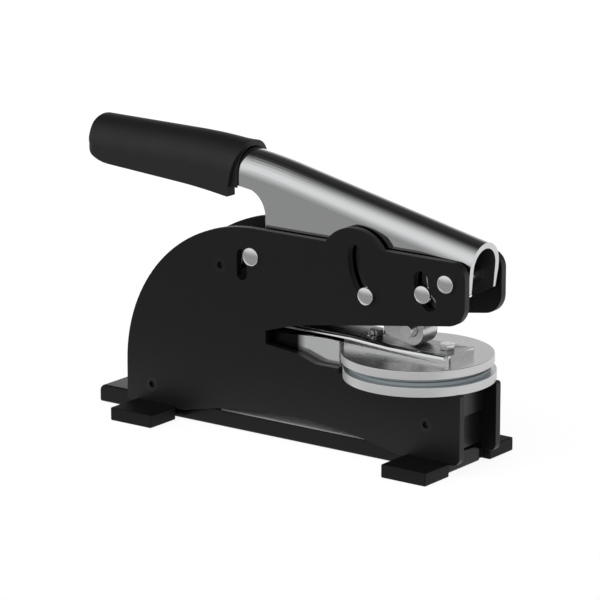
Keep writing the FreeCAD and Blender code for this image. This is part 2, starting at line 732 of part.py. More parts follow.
# Upper arm: a thick flat bar that runs back into the throat as a thinner leaf with a
# rounded rear end, its hinge line.
body = new_body("upper_arm")
sketch = new_sketch(body, "upper_arm_outline")
hinge = (s.leaf_end_inset - s.insert_back, leaf_foot + s.leaf_thick / 2)
leaf_half = s.leaf_thick / 2
loop(sketch, [
    (hinge[0], leaf_top, hinge[0], hinge[1], 1),
    (hinge[0], leaf_foot),
    (-s.upper_arm_back, leaf_foot),
    (-s.upper_arm_back, arm_foot),
    (s.upper_arm_front, arm_foot),
    (s.upper_arm_front, arm_top),
    (-s.leaf_fall_end, arm_top),
    (-s.leaf_fall_back, leaf_top),
])
bar = pad(body, sketch, "upper_arm_pad", s.arm_wide, middle=True)
doc.recompute()
tips = []
for number, edge in enumerate(bar.Shape.Edges, 1):
    box = edge.BoundBox
    if box.ZLength > 1e-3 and box.XLength < 1e-6 and abs(box.XMax - s.upper_arm_front.value) < 1e-6:
        tips.append("Edge%d" % number)
soft = body.newObject("PartDesign::Fillet", "upper_arm_tip")
soft.Base = (bar, tips)
bind(soft, "Radius", s.arm_corner)
seats = [size(0), s.spot_rise]
for k, x in enumerate(bolts):
    drill(body, "upper_arm_hole_%d" % k, x, 0, arm_foot, UPRIGHT, s.bolt_shank + s.snug_fit,
          s.arm_thick + seats[k])
drill(body, "upper_arm_spot_face", bolts[1], 0, arm_top + s.spot_rise, UPRIGHT,
      s.bolt_corner + s.spot_fit, s.leaf_rise)
drill(body, "leaf_hole", -s.leaf_screw_back, 0, leaf_foot, UPRIGHT,
      s.screw_shank + s.leaf_screw_gap, s.leaf_thick)
keep(body, "upper_arm")

# Hexagon bolts that hold the upper disc on the arm.
made = []
for k, x in enumerate(bolts):
    head = doc.addObject("Part::Prism", "arm_bolt_head_%d" % k)
    bind(head, "Polygon", s.hexagon_sides)
    bind(head, "Circumradius", s.bolt_corner)
    bind(head, "Height", s.bolt_head_high)
    place(head, x, 0, arm_top + seats[k])
    shank = doc.addObject("Part::Cylinder", "arm_bolt_shank_%d" % k)
    bind(shank, "Radius", s.bolt_shank)
    bind(shank, "Height", s.bolt_deep + s.arm_thick + seats[k])
    place(shank, x, 0, arm_foot - s.bolt_deep)
    bolt = doc.addObject("Part::Fuse", "arm_bolt_%d" % k)
    bolt.Base = head
    bolt.Tool = shank
    made.append(bolt)
group("arm_bolts", made)

# Ram: an eye on the crank pin, a rounded toe over the arm with an upright flank, and a
# heel towards the rear.
body = new_body("ram_link")
toe = (s.ram_toe_ahead, ram_foot + s.ram_toe)
heel = (-s.ram_heel_back, ram_foot + s.ram_heel_rise + s.ram_heel)


def outer_tangent(first, r1, last, r2):
    """Ends of the line that touches two circles on the right of the way from first to last."""
    gap_x = last[0] - first[0]
    gap_z = last[1] - first[1]
    span = root(gap_x * gap_x + gap_z * gap_z)
    lean = direction(gap_x, gap_z)
    drop = direction(root(span * span - (r1 - r2) * (r1 - r2)), r1 - r2)
    way = lean - s.right_angle + drop
    return polar(first[0], first[1], r1, way), polar(last[0], last[1], r2, way)


flank = (s.ram_toe_ahead + s.ram_toe, ram_foot + s.ram_flank)
right = outer_tangent(flank, size(0), crank, s.ram_eye)
left = outer_tangent(crank, s.ram_eye, heel, s.ram_heel)
low = outer_tangent(heel, s.ram_heel, toe, s.ram_toe)
sketch = new_sketch(body, "ram_outline")
loop(sketch, [
    low[1] + toe + (1,),
    (flank[0], toe[1]),
    flank + (s.ram_bend,),
    right[1] + crank + (1,),
    left[0],
    left[1] + heel + (1,),
    low[0],
])
circle(sketch, crank[0], crank[1], s.crank_shank + s.running_fit)
cross = (s.ram_toe_ahead, ram_foot + s.cross_lift)
circle(sketch, cross[0], cross[1], s.cross_shank + s.snug_fit)
pad(body, sketch, "ram_pad", s.ram_half * 2, middle=True)
keep(body, "ram_link")


# Pins: turned pieces whose section is drawn over their axis and revolved about it.
def turned_pin(name, spot, corners):
    body = new_body(name)
    sketch = new_sketch(body, name + "_section", "YZ_Plane")
    loop(sketch, corners)
    revolve(body, sketch, name + "_turned")
    place(body, spot[0], 0, spot[1])
    keep(body, name)


def headed_pin(name, spot, shank, seat, head, proud):
    """A pin with a flat head at both ends."""
    turned_pin(name, spot, [
        (-(seat + proud), 0),
        (seat + proud, 0),
        (seat + proud, head),
        (seat, head),
        (seat, shank),
        (-seat, shank),
        (-seat, head),
        (-(seat + proud), head),
    ])


turned_pin("ram_cross_pin", cross, [
    (-s.cross_half, 0), (s.cross_half, 0), (s.cross_half, s.cross_shank), (-s.cross_half, s.cross_shank),
])
headed_pin("pivot_pin", pivot, s.pivot_shank, plate_out, s.dome_round, s.dome_proud)
headed_pin("crank_pin", crank, s.crank_shank, plate_out + s.head_gap, s.dome_round, s.dome_proud)
headed_pin("return_pin", catch, s.return_shank, plate_out + s.head_gap, s.dome_round, s.dome_proud)
headed_pin("spring_rod", rod, s.rod_shank, plate_out, s.rod_ball_round, s.rod_ball_proud)

# Lever: an inverted channel with a half-round crown, bent once inside the grip, and two
# deep walls that carry the pins.
lever_out = s.lever_wide / 2
front_x = s.lever_front + s.lever_cut_room
front = (front_x, s.lever_front_high - s.lever_cut_room * tangent(s.lever_lean))
bend = (-s.lever_bend_back,
        s.lever_front_high + (s.lever_front + s.lever_bend_back) * tangent(s.lever_lean))
tail = (-s.grip_tail_back, bend[1] + (s.grip_tail_back - s.lever_bend_back) * tangent(s.grip_lean))


def cross_sketch(body, name, spot, lean):
    """A sketch square to the lever's axis at one point: x across, y along the upright of the lever."""
    sketch = new_sketch(body, name, "YZ_Plane")
    sketch.AttachmentOffset = FreeCAD.Placement(V(0, 0, 0), FreeCAD.Rotation(V(1, 0, 0), 1))
    bind(sketch, ".AttachmentOffset.Base.y", spot[1])
    bind(sketch, ".AttachmentOffset.Base.z", spot[0])
    bind(sketch, ".AttachmentOffset.Rotation.Angle", lean)
    return sketch


def arched(sketch, outer, leg, inner=None):
    """A section with a half-round top and straight legs; with inner, a wall of constant thickness."""
    if inner is None:
        loop(sketch, [(outer, -leg), (outer, 0, 0, 0, 1), (-outer, 0), (-outer, -leg)])
        return
    loop(sketch, [(outer, -leg), (outer, 0, 0, 0, 1), (-outer, 0), (-outer, -leg),
                  (-inner, -leg), (-inner, 0, 0, 0, -1), (inner, 0), (inner, -leg)])


def bent_path(sketch, first, corner, last, radius):
    """Two straight runs joined by a tangent arc."""
    ends = [V(spot[0].value, spot[1].value, 0) for spot in (first, corner, last)]
    back = (ends[1] - ends[0]).normalize()
    on = (ends[2] - ends[1]).normalize()
    turn = back.x * on.y - back.y * on.x
    flip = math.copysign(1, turn)
    run = radius.value * math.tan(math.atan2(abs(turn), back.dot(on)) / 2)
    start = ends[1] - back * run
    stop = ends[1] + on * run
    middle = start + V(-back.y, back.x, 0) * flip * radius.value
    first_angle = math.atan2(start.y - middle.y, start.x - middle.x)
    last_angle = math.atan2(stop.y - middle.y, stop.x - middle.x)
    ring = Part.Circle(middle, V(0, 0, 1), radius.value)
    sketch.addGeometry(Part.LineSegment(ends[0], start), False)
    if turn > 0:
        sketch.addGeometry(Part.ArcOfCircle(ring, first_angle, last_angle), False)
    else:
        sketch.addGeometry(Part.ArcOfCircle(ring, last_angle, first_angle), False)
    arc_start, arc_stop = (1, 2) if turn > 0 else (2, 1)
    sketch.addGeometry(Part.LineSegment(stop, ends[2]), False)
    tip = sketch.addGeometry(Part.Point(ends[1]), True)
    sketch.addConstraint(Sketcher.Constraint("Tangent", 0, 2, 1, arc_start))
    sketch.addConstraint(Sketcher.Constraint("Tangent", 1, arc_stop, 2, 1))
    for geo, pos, spot in ((0, 1, first), (tip, 1, corner), (2, 2, last)):
        tie(sketch, "DistanceX", geo, pos, spot[0])
        tie(sketch, "DistanceY", geo, pos, spot[1])
    sketch.addConstraint(Sketcher.Constraint("PointOnObject", tip, 1, 0))
    sketch.addConstraint(Sketcher.Constraint("PointOnObject", tip, 1, 2))
    number = sketch.addConstraint(Sketcher.Constraint("Radius", 1, radius.value))
    sketch.setExpression("Constraints[%d]" % number, radius.text)


body = new_body("handle_channel")
lever_in = lever_out - s.lever_wall
spine = new_sketch(body, "lever_axis")
bent_path(spine, front, bend, tail, s.lever_bend_round)
sketch = cross_sketch(body, "lever_section", front, s.lever_lean)
arched(sketch, lever_out, s.lever_leg, lever_in)
run = body.newObject("PartDesign::AdditivePipe", "lever_run")
run.Profile = sketch
run.Spine = (spine, ["Edge1", "Edge2", "Edge3"])
fin_join = s.fin_back + s.fin_hollow
leg_under = bend[1] - s.lever_leg


def axis_high(x):
    """Height of the lever's straight axis at x."""
    return s.lever_front_high + (s.lever_front - x) * tangent(s.lever_lean)


def front_spot(down):
    """A point on the channel's square end before the front cut, so far below the axis."""
    return (front[0] - down * sine(s.lever_lean), front[1] - down * cosine(s.lever_lean))


leg_half = s.lever_leg / 2
low_front = front_spot(s.front_wall)
hollow_low = axis_high(-fin_join) - s.lever_leg / cosine(s.lever_lean) - s.fin_hollow
wall_points = [(-s.fin_back, s.fin_low, s.fin_edge)]
for along_share, down_share in reversed(WALL_SHARES):
    wall_points.append((pivot[0] + along_share * s.crank_arm,
                        pivot[1] + down_share * s.crank_arm, s.fin_edge))
wall_points.append(low_front)
for name, start in (("near", lever_in), ("far", -lever_out)):
    sketch = new_sketch(body, "lever_wall_" + name, offset=start)
    loop(sketch, wall_points + [
        front_spot(leg_half),
        (-fin_join, axis_high(-fin_join) - leg_half / cosine(s.lever_lean)),
        (-fin_join, hollow_low + s.fin_hollow, -fin_join, hollow_low, -1),
        (-s.fin_back, hollow_low),
    ])
    circle(sketch, pivot[0], pivot[1], s.pivot_shank + s.running_fit)
    circle(sketch, crank[0], crank[1], s.crank_shank + s.snug_fit)
    line = direction(catch[0] - pivot[0], catch[1] - pivot[1])
    straight_slot(sketch, polar(pivot[0], pivot[1], s.lever_slot_near, line),
                  polar(pivot[0], pivot[1], s.lever_slot_far, line),
                  s.return_shank + s.lever_slot_side)
    pad(body, sketch, "lever_wall_%s_pad" % name, s.lever_wall)
cut = new_sketch(body, "lever_front_cut")
rise = s.lever_wide
top_cut = (s.lever_front + rise * tangent(s.lever_cut_lean), s.lever_front_high + rise)
low_cut = (s.lever_front - rise * tangent(s.lever_cut_lean), s.lever_front_high - rise)
loop(cut, [low_cut, (front[0] + rise, low_cut[1]), (front[0] + rise, top_cut[1]), top_cut])
pocket(body, cut, "lever_front_trim", middle=True)
keep(body, "handle_channel")

# Grip: a rubber sleeve over the rear part, closed and rounded at its end.
body = new_body("handle_grip")
grip_out = lever_out + s.grip_wall
skirt = s.grip_skirt_front + s.grip_skirt_room
end_high = tail[1] + (s.grip_end_back - s.grip_tail_back) * tangent(s.grip_lean)
sketch = cross_sketch(body, "grip_section", (-s.grip_end_back, end_high), s.grip_lean)
arched(sketch, grip_out, skirt)
lip_top = -(s.grip_front_back - s.grip_front_lean)
full = pad(body, sketch, "grip_run", s.grip_end_back + lip_top + s.grip_wall)
doc.recompute()
rear_rim = []
for number, edge in enumerate(full.Shape.Edges, 1):
    box = edge.BoundBox
    if box.XMax < -s.grip_end_back.value + 1 and box.ZMax > end_high.value - skirt.value + 0.5:
        rear_rim.append("Edge%d" % number)
soft = body.newObject("PartDesign::Fillet", "grip_end")
soft.Base = (full, rear_rim)
bind(soft, "Radius", s.grip_end_round)
bore = cross_sketch(body, "grip_bore_section", tail, s.grip_lean)
arched(bore, lever_out + s.grip_fit, s.lever_leg + s.grip_fit)
pocket(body, bore, "grip_bore", s.grip_tail_back, back=True)
mouth = cross_sketch(body, "grip_mouth_section", tail, s.grip_lean)
loop(mouth, [(-lever_in, -s.lever_leg), (-lever_in, -(skirt + s.grip_wall)),
             (lever_in, -(skirt + s.grip_wall)), (lever_in, -s.lever_leg)])
pocket(body, mouth, "grip_mouth", s.grip_tail_back, back=True)
trim = new_sketch(body, "grip_trim")
away = skirt + s.grip_wall
lip_low = -s.grip_front_back
axis_front = bend[1]
rear_low = end_high - s.grip_skirt_rear
front_low = axis_front - s.grip_skirt_front
over = grip_out + s.grip_wall
heel = s.grip_heel_round
loop(trim, [
    (-(s.grip_end_back + s.grip_wall), rear_low + heel),
    (-s.grip_end_back, rear_low + heel, heel - s.grip_end_back, rear_low + heel, 1),
    (heel - s.grip_end_back, rear_low),
    (lip_low - s.grip_end_round, front_low, s.grip_lip),
    (lip_low, axis_front - s.grip_skirt_rear, s.grip_lip),
    (lip_top, axis_front + over),
    (lip_top + over, axis_front + over),
    (lip_top + over, axis_front - away),
    (-(s.grip_end_back + s.grip_wall), axis_front - away),
])
pocket(body, trim, "grip_trim_cut", middle=True)
keep(body, "handle_grip")

# Return spring: the room of its coil, from the rod to the return pin.
gap_x = catch[0] - rod[0]
gap_z = catch[1] - rod[1]
length = root(gap_x * gap_x + gap_z * gap_z)
lean = direction(gap_x, gap_z)
coil = doc.addObject("Part::Cylinder", "return_spring")
bind(coil, "Radius", s.coil_round)
bind(coil, "Height", length - 2 * s.rod_shank - 2 * s.running_fit)
coil.Placement = FreeCAD.Placement(V(0, 0, 0), FreeCAD.Rotation(V(0, 1, 0), 90))
bind(coil, "Placement.Rotation.Angle", s.right_angle - lean)
place(coil, rod[0] + (s.rod_shank + s.running_fit) * cosine(lean), 0,
      rod[1] + (s.rod_shank + s.running_fit) * sine(lean))
keep(coil, "return_spring")

doc.recompute()
bad = [thing.Name for thing in doc.Objects if "Invalid" in thing.State or "Error" in thing.State]
if bad:
    raise RuntimeError("failed objects: " + ", ".join(bad))
for name, thing in NODES:
    shape = thing.Shape
    if shape.isNull() or not shape.isValid() or not shape.Solids:
        raise RuntimeError("no valid solid: " + name)
for name, thing in NODES:
    thing.Shape.exportStep("parts/%s.step" % name)
    box = thing.Shape.BoundBox
    print("%-20s %d solids, %9.1f mm3, x %7.2f %7.2f y %7.2f %7.2f z %7.2f %7.2f" % (
        name, len(thing.Shape.Solids), thing.Shape.Volume, box.XMin, box.XMax, box.YMin, box.YMax,
        box.ZMin, box.ZMax))
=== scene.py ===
import json
import math

import bmesh
import bpy
from mathutils import Matrix, Vector

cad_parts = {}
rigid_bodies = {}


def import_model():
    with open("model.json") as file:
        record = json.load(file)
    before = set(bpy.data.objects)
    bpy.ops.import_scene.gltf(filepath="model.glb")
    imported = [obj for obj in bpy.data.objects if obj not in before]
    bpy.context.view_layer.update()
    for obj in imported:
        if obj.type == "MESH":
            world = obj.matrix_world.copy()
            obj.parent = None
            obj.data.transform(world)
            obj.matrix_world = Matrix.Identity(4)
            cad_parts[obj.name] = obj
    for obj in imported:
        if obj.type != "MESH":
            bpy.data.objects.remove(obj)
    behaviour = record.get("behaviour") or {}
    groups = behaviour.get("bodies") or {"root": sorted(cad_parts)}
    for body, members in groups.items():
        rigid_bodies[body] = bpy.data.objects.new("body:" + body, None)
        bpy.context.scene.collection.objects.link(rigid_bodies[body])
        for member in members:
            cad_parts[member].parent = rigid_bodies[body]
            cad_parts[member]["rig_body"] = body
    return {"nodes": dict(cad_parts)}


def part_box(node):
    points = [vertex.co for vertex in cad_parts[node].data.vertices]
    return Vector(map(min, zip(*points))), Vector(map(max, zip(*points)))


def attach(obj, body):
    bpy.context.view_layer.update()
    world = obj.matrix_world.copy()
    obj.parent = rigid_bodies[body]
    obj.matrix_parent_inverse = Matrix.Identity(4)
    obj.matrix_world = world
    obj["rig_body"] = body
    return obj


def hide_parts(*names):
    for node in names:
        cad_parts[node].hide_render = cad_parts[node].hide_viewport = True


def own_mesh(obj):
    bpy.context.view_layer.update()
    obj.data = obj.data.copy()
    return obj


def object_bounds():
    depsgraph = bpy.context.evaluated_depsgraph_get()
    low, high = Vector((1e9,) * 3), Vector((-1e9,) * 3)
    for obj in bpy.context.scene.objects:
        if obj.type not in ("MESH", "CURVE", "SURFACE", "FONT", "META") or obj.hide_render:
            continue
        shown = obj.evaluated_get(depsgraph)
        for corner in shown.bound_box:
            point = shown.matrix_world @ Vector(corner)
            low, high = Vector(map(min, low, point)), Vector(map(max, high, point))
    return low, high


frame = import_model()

cad_low, cad_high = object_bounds()


# Base bar: a flat steel bar under the side plates, painted gloss black, with its edges broken.
# The stretch of its top between the plates is coloured pale grey as a painted highlight.
# It stands out behind the plates as a tail.
class Tone:
    """One output of a shader node. Sums on it add Math nodes; node() adds any other node."""

    def __init__(self, tree, socket=None):
        self.tree = tree
        self.socket = socket

    def node(self, kind, settings, inputs, out=0):
        made = self.tree.nodes.new(kind)
        for name, value in settings.items():
            if name == "stops":
                stops = made.color_ramp.elements
                for stop, (spot, colour) in zip(stops, (value[0], value[-1])):
                    stop.position, stop.color = spot, colour
                for spot, colour in value[1:-1]:
                    stops.new(spot).color = colour
            else:
                setattr(made, name, value)
        for name, value in inputs.items():
            if isinstance(value, Tone):
                self.tree.links.new(value.socket, made.inputs[name])
            else:
                made.inputs[name].default_value = value
        return Tone(self.tree, made.outputs[out])

    def feed(self, shader, name):
        self.tree.links.new(self.socket, shader.inputs[name])

    def sum(self, operation, first, second):
        return self.node("ShaderNodeMath", {"operation": operation}, {0: first, 1: second})

    def __add__(self, other):
        return self.sum("ADD", self, other)

    def __rsub__(self, other):
        return self.sum("SUBTRACT", other, self)

    def __mul__(self, other):
        return self.sum("MULTIPLY", self, other)

    __radd__ = __add__
    __rmul__ = __mul__


def finish(name, colour, rough, metal=0.0, **more):
    """A material with these fixed values, its shader, and the piece's own coordinates in metres."""
    material = bpy.data.materials.new(name)
    material.use_nodes = True
    shader = material.node_tree.nodes["Principled BSDF"]
    shader.inputs["Base Color"].default_value = (*colour, 1.0)
    shader.inputs["Roughness"].default_value = rough
    shader.inputs["Metallic"].default_value = metal
    for socket, value in more.items():
        shader.inputs[socket.replace("_", " ")].default_value = value
    spot = Tone(material.node_tree).node("ShaderNodeTexCoord", {}, {}, "Object")
    return material, shader, spot


def grain(spot, scale, detail=3.0, stretch=(1.0, 1.0, 1.0), turn=(0.0, 0.0, 0.0)):
    """Noise between 0 and 1, with so many spots to the metre, stretched along the piece."""
    along = spot.node("ShaderNodeMapping", {}, {"Vector": spot, "Rotation": turn, "Scale": stretch})
    return spot.node("ShaderNodeTexNoise", {}, {"Vector": along, "Scale": scale, "Detail": detail}, "Fac")


def relief(height, deep, strength=1.0, under=None):
    """A bump of so many metres for a height between 0 and 1, over another bump if one is given."""
    sockets = {"Strength": strength, "Distance": deep, "Height": height}
    if under is not None:
        sockets["Normal"] = under
    return height.node("ShaderNodeBump", {}, sockets, "Normal")


def shaped(name, body, material, bm, *nodes, sharp=35.0):
    """Makes a finished mesh into a piece that rides on a body and stands for its CAD nodes."""
    mesh = bpy.data.meshes.new(name)
    bm.to_mesh(mesh)
    bm.free()
    mesh.materials.append(material)
    mesh.shade_smooth()
    mesh.set_sharp_from_angle(angle=math.radians(sharp))
    piece = bpy.data.objects.new(name, mesh)
    bpy.context.scene.collection.objects.link(piece)
    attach(piece, body)
    if nodes:
        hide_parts(*nodes)
    return piece


def dressed(node, material, edge, steps=2, sharp=35.0, reshape=None):
    """A merged copy of a CAD node, reshaped if asked, with its edges broken by so many metres."""
    bm = bmesh.new()
    bm.from_mesh(frame["nodes"][node].data)
    bmesh.ops.remove_doubles(bm, verts=bm.verts, dist=2e-6)
    bmesh.ops.dissolve_limit(bm, angle_limit=math.radians(0.3), verts=bm.verts, edges=bm.edges)
    for layer in list(bm.loops.layers.uv):
        bm.loops.layers.uv.remove(layer)
    if reshape is not None:
        reshape(bm)
    piece = shaped(node + "_made", frame["nodes"][node]["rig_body"], material, bm, node, sharp=180.0)
    if edge:
        rounding = piece.modifiers.new("broken edges", "BEVEL")
        rounding.width = edge
        rounding.segments = steps
        rounding.limit_method = "ANGLE"
        rounding.angle_limit = math.radians(sharp)
        flats = piece.modifiers.new("true flats", "WEIGHTED_NORMAL")
        flats.weight = 60
    else:
        piece.data.set_sharp_from_angle(angle=math.radians(sharp))
    return piece


def cut_across(bm, places):
    """Cuts the mesh across at these places along the machine, and keeps both sides."""
    for place in places:
        bmesh.ops.bisect_plane(bm, geom=bm.verts[:] + bm.edges[:] + bm.faces[:], dist=1e-7,
                               plane_co=(place, 0.0, 0.0), plane_no=(1.0, 0.0, 0.0))


def pale_highlight_top(bm):
    """Marks the stretch of the bar's top that lies between the plates, for a pale painted highlight."""
    highlight_rear, highlight_front = -0.112, -0.022
    cut_across(bm, (highlight_rear, highlight_front))
    bm.normal_update()
    for face in bm.faces:
        if face.normal.z > 0.9 and highlight_rear < face.calc_center_median().x < highlight_front:
            face.material_index = 1


gloss_paint, shader, spot = finish("bar_gloss_black", (0.004, 0.004, 0.0042), 0.1, Specular_IOR_Level=0.18)
ripple = grain(spot, 120.0, 2.0)
dust = grain(spot, 2400.0, 4.0)
(0.2 + 0.1 * ripple).feed(shader, "Roughness")
relief(ripple, 0.00003, 0.4, relief(dust, 0.000006, 0.4)).feed(shader, "Normal")
# That stretch of the top is coloured pale grey: a painted highlight standing in for light seen through the
# gap under the plates.
painted_highlight_steel, shader, spot = finish("bar_painted_highlight_top", (0.62, 0.62, 0.62), 0.6)
mill_marks = grain(spot, 300.0, 4.0, stretch=(0.1, 1.0, 1.0))
(0.5 + 0.2 * mill_marks).feed(shader, "Roughness")
bar = dressed("base_bar", gloss_paint, 0.0011, 3, reshape=pale_highlight_top)
bar.data.materials.append(painted_highlight_steel)


# Feet: four moulded blocks of black rubber beside the bar, each with a tongue under its side
# plate. Their edges are a little rounded and the skin is dull.
rubber, shader, spot = finish("foot_rubber", (0.0045, 0.0045, 0.0045), 0.6, Specular_IOR_Level=0.2)
speck = grain(spot, 1500.0, 4.0)
(0.5 + 0.22 * speck).feed(shader, "Roughness")
relief(speck, 0.00005, 0.6).feed(shader, "Normal")
for corner in ("front_near", "front_far", "rear_near", "rear_far"):
    dressed("foot_" + corner, rubber, 0.0007, 3)


# Side plates: 4 mm steel plates sawn to one outline, with three slots each, and coated in
# satin black. The broken edges of the outline and the slots catch the light.
satin_coat, shader, spot = finish("plate_satin_black", (0.005, 0.005, 0.0052), 0.42, Specular_IOR_Level=0.28)
coat = grain(spot, 2600.0, 3.0)
cloud = grain(spot, 45.0, 2.0)
(0.37 + 0.08 * coat + 0.05 * cloud).feed(shader, "Roughness")
relief(coat, 0.00002, 0.4).feed(shader, "Normal")
for side in ("near", "far"):
    dressed("side_plate_" + side, satin_coat, 0.0003)


# Frame screws and spacers: blackened countersunk screws with hexagon sockets, which draw
# the plates onto plain turned steel spacers.
screw_black, shader, spot = finish("screw_black", (0.006, 0.006, 0.0065), 0.36, Specular_IOR_Level=0.33)
worn = grain(spot, 1800.0, 4.0)
(0.3 + 0.14 * worn).feed(shader, "Roughness")
relief(worn, 0.00002, 0.4).feed(shader, "Normal")
dressed("frame_screws", screw_black, 0.0)
turned_steel, shader, spot = finish("plain_turned_steel", (0.42, 0.42, 0.43), 0.3, 1.0)
lines = grain(spot, 400.0, 4.0, stretch=(1.0, 14.0, 1.0))
(0.24 + 0.2 * lines).feed(shader, "Roughness")
relief(lines, 0.00002, 0.4).feed(shader, "Normal")
for height in ("low", "high"):
    dressed("rear_%s_spacer" % height, turned_steel, 0.0003)


# Anvil block: a milled steel block between the plates under the lower disc, coated satin
# black like them, with a foot round the front screws.
block_coat, shader, spot = finish("block_satin_black", (0.008, 0.008, 0.0085), 0.36)
milled = grain(spot, 700.0, 3.0, stretch=(1.0, 9.0, 1.0))
(0.3 + 0.14 * milled).feed(shader, "Roughness")
relief(milled, 0.00002, 0.5).feed(shader, "Normal")
dressed("anvil_block", block_coat, 0.0002)


# Insert: a bright plated lower arm, block and sprung upper arm, which slide into the press
# together. The rear of the block is coloured near black as painted shade, and the upper
# arm's flat top is coloured darker as a painted reflection of the dark jaw above it.
bright_plate, shader, spot = finish("insert_bright_plating", (0.66, 0.665, 0.67), 0.12, 1.0)
brushed = grain(spot, 500.0, 4.0, stretch=(0.06, 1.0, 1.0))
(0.08 + 0.1 * brushed).feed(shader, "Roughness")
relief(brushed, 0.00001, 0.4).feed(shader, "Normal")
dressed("lower_arm", bright_plate, 0.00025)
# The rear of the block is coloured near black and fades into the bright plating over 5 mm: painted shade
# where the plates shade it.
shade_black_rear = (0.008, 0.008, 0.008)
bright_front = (0.86, 0.865, 0.87)
shade_until, unshaded_from = -0.0645, -0.0595
block_plate, shader, spot = finish("insert_block_plating", bright_front, 0.14, 0.9)
lengthways = spot.node("ShaderNodeSeparateXYZ", {}, {"Vector": spot}, "X")
unshaded = spot.node("ShaderNodeMapRange", {},
                  {"Value": lengthways, "From Min": shade_until, "From Max": unshaded_from}, "Result")
painted_shade_blend = spot.node("ShaderNodeMix", {"data_type": "RGBA"},
                     {"Factor": unshaded, 6: (*shade_black_rear, 1.0), 7: (*bright_front, 1.0)}, 2)
painted_shade_blend.feed(shader, "Base Color")
(0.3 - 0.18 * unshaded).feed(shader, "Roughness")
dressed("insert_block", block_plate, 0.00025)


def rounded_arm(bm):
    """Rounds the arm's two long upper edges broadly, and marks its flat top for the darker painted
    reflection.
    """
    long_edges = [edge for edge in bm.edges if len(edge.link_faces) == 2
                  and min(face.normal.z for face in edge.link_faces) < 0.3
                  and max(face.normal.z for face in edge.link_faces) > 0.7
                  and max(abs(face.normal.y) for face in edge.link_faces) > 0.95]
    bmesh.ops.bevel(bm, geom=long_edges, offset=0.0026, segments=4, profile=0.5, affect="EDGES",
                    material=-1)
    bm.normal_update()
    for face in bm.faces:
        if face.normal.z > 0.97:
            face.material_index = 1


# The arm's flat top gets a darker grey than the plating: a painted reflection of the dark jaw and plates
# above it.
dark_reflection_top, shader, spot = finish("arm_painted_reflection_top", (0.3, 0.3, 0.305), 0.3, 1.0)
ground_lines = grain(spot, 600.0, 4.0, stretch=(0.05, 1.0, 1.0))
(0.2 + 0.16 * ground_lines).feed(shader, "Roughness")
relief(ground_lines, 0.00001, 0.4).feed(shader, "Normal")
arm = dressed("upper_arm", bright_plate, 0.00015, reshape=rounded_arm)
arm.data.materials.append(dark_reflection_top)


# Discs and dies: two satin turned discs, each with a blue-grey plastic die let onto its
# face. The turning leaves fine rings on the faces and lines round the rims.
satin_disc, shader, spot = finish("disc_satin_turned", (0.62, 0.62, 0.625), 0.25, 0.85)
centred = spot.node("ShaderNodeMapping", {}, {"Vector": spot, "Scale": (1.0, 1.0, 0.0)})
away = spot.node("ShaderNodeVectorMath", {"operation": "LENGTH"}, {"Vector": centred}, "Value")
rings = spot.node("ShaderNodeTexNoise", {"noise_dimensions": "1D"}, {"W": away, "Scale": 2600.0}, "Fac")
rim_lines = grain(spot, 500.0, 3.0, stretch=(0.05, 0.05, 5.0))
(0.18 + 0.08 * rings + 0.08 * rim_lines).feed(shader, "Roughness")
relief(rings, 0.000006, 0.4, relief(rim_lines, 0.00001, 0.4)).feed(shader, "Normal")
rim_metal, shader, spot = finish("disc_turned_rim", (0.8, 0.8, 0.805), 0.4, 0.45)
rim_lines = grain(spot, 500.0, 3.0, stretch=(0.05, 0.05, 5.0))
(0.34 + 0.12 * rim_lines).feed(shader, "Roughness")
for node in ("lower_disc", "upper_disc"):
    disc = dressed(node, satin_disc, 0.0003, sharp=25.0)
    disc.data.materials.append(rim_metal)
    for face in disc.data.polygons:
        if abs(face.normal.z) < 0.5:
            face.material_index = 1
die_plastic, shader, spot = finish("die_grey_plastic", (0.37, 0.43, 0.45), 0.45)
mottle = grain(spot, 300.0, 4.0)
(0.42 + 0.16 * mottle).feed(shader, "Roughness")
relief(mottle, 0.00002, 0.4).feed(shader, "Normal")
for node in ("lower_die", "upper_die"):
    dressed(node, die_plastic, 0.0002, sharp=25.0)


# Ram: a forged and ground steel link with an eye on the crank pin and a rounded toe that
# bears on the upper arm, cross drilled for a pin.
ground_steel, shader, spot = finish("ram_ground_steel", (0.6, 0.6, 0.61), 0.26, 1.0)
ground = grain(spot, 450.0, 4.0, stretch=(1.0, 1.0, 0.12))
(0.2 + 0.16 * ground).feed(shader, "Roughness")
relief(ground, 0.00002, 0.4).feed(shader, "Normal")
dressed("ram_link", ground_steel, 0.0004)
bright_steel, shader, spot = finish("bright_steel", (0.7, 0.7, 0.71), 0.22, 1.0)
polish = grain(spot, 900.0, 4.0)
(0.16 + 0.14 * polish).feed(shader, "Roughness")
relief(polish, 0.00001, 0.3).feed(shader, "Normal")
dressed("ram_cross_pin", bright_steel, 0.0003)


# Small bright fasteners: two hexagon bolts on the upper arm and the leaf's cheese head
# screw, all machined from bright steel.
for node in ("arm_bolts", "leaf_screw"):
    dressed(node, bright_steel, 0.0002)


